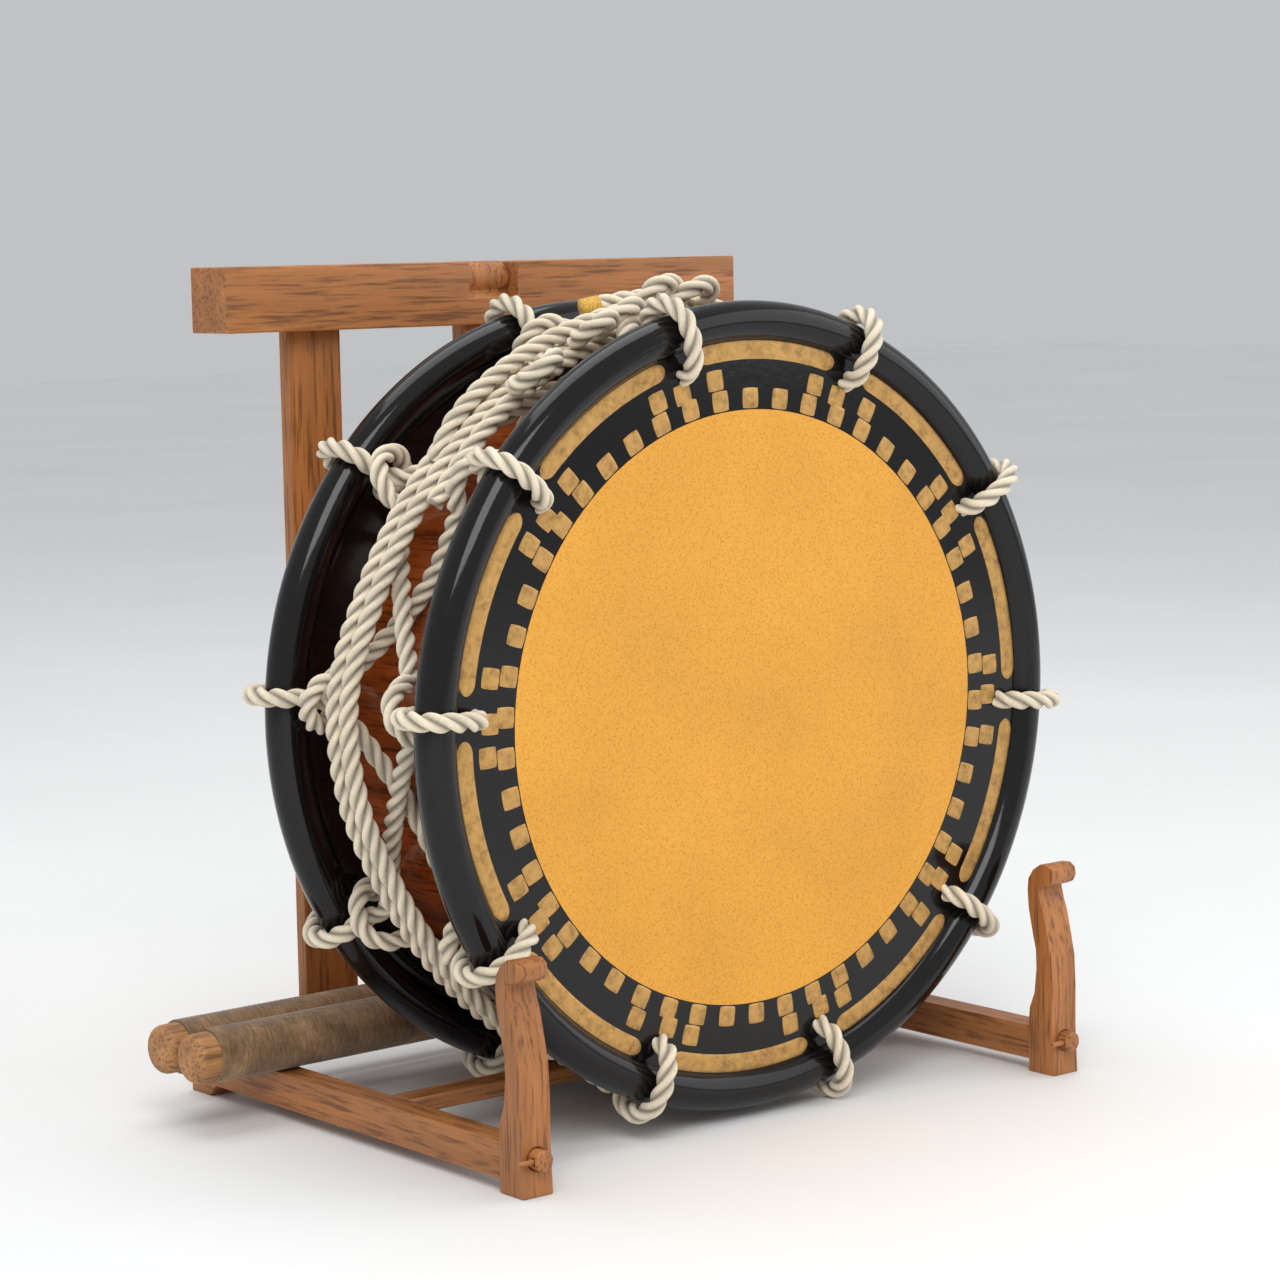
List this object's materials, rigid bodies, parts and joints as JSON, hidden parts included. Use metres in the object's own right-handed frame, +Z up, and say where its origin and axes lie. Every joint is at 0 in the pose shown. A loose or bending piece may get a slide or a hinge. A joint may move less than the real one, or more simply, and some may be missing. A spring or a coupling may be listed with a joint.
{
  "type": "rope-laced drum on a stand",
  "caption": "Rope-laced barrel drum with hide heads on iron rings, standing in a knock-down wooden stand that also holds a pair of cloth-wrapped sticks.",
  "frame": {"origin": "centre of the bounding box, on the floor that the stand rests on", "axes": "+Z up, -Y towards the front head, +X to the right seen from the front; the drum's axis runs along Y"},
  "size_m": [0.3914, 0.2588, 0.3774],
  "materials": {
    "body_wood": "glossy orange-brown varnish",
    "hide": "amber hide with a gloss black border",
    "ring_iron": "plain iron, hidden in the hide",
    "rope": "three-strand cream cotton",
    "stand_wood": "open-grained stained wood",
    "stick_wood": "bare wood",
    "wrap_cloth": "coarse brown cloth"
  },
  "bodies": {
    "stand": {"left_foot_rail": "stand_wood", "right_foot_rail": "stand_wood", "left_front_post": "stand_wood", "right_front_post": "stand_wood", "cross_rail": "stand_wood", "rear_rail": "stand_wood", "left_upright": "stand_wood", "right_upright": "stand_wood", "top_bar": "stand_wood", "hook_post": "stand_wood"},
    "drum": {"drum_shell": "body_wood", "front_head": "hide", "back_head": "hide", "front_ring": "ring_iron", "back_ring": "ring_iron", "lacing_rope_a": "rope", "lacing_rope_b": "rope", "waist_rope": "rope"},
    "left_pin": {"left_wedge_pin": "stand_wood"},
    "right_pin": {"right_wedge_pin": "stand_wood"},
    "stick_one": {"front_stick": "stick_wood", "front_stick_wrap": "wrap_cloth"},
    "stick_two": {"rear_stick": "stick_wood", "rear_stick_wrap": "wrap_cloth"}
  },
  "joints": [
    {"name": "drum_lift", "type": "slide", "parent": "stand", "child": "drum", "axis": [0, 0, 1], "range_m": [0, 0.2]},
    {"name": "left_pin_slide", "type": "slide", "parent": "stand", "child": "left_pin", "axis": [-1, 0, 0], "range_m": [0, 0.018]},
    {"name": "right_pin_slide", "type": "slide", "parent": "stand", "child": "right_pin", "axis": [-1, 0, 0], "range_m": [0, 0.018]},
    {"name": "front_stick_lift", "type": "slide", "parent": "stand", "child": "stick_one", "axis": [0, 0, 1], "range_m": [0, 0.03]},
    {"name": "rear_stick_lift", "type": "slide", "parent": "stand", "child": "stick_two", "axis": [0, 0, 1], "range_m": [0, 0.03]}
  ]
}
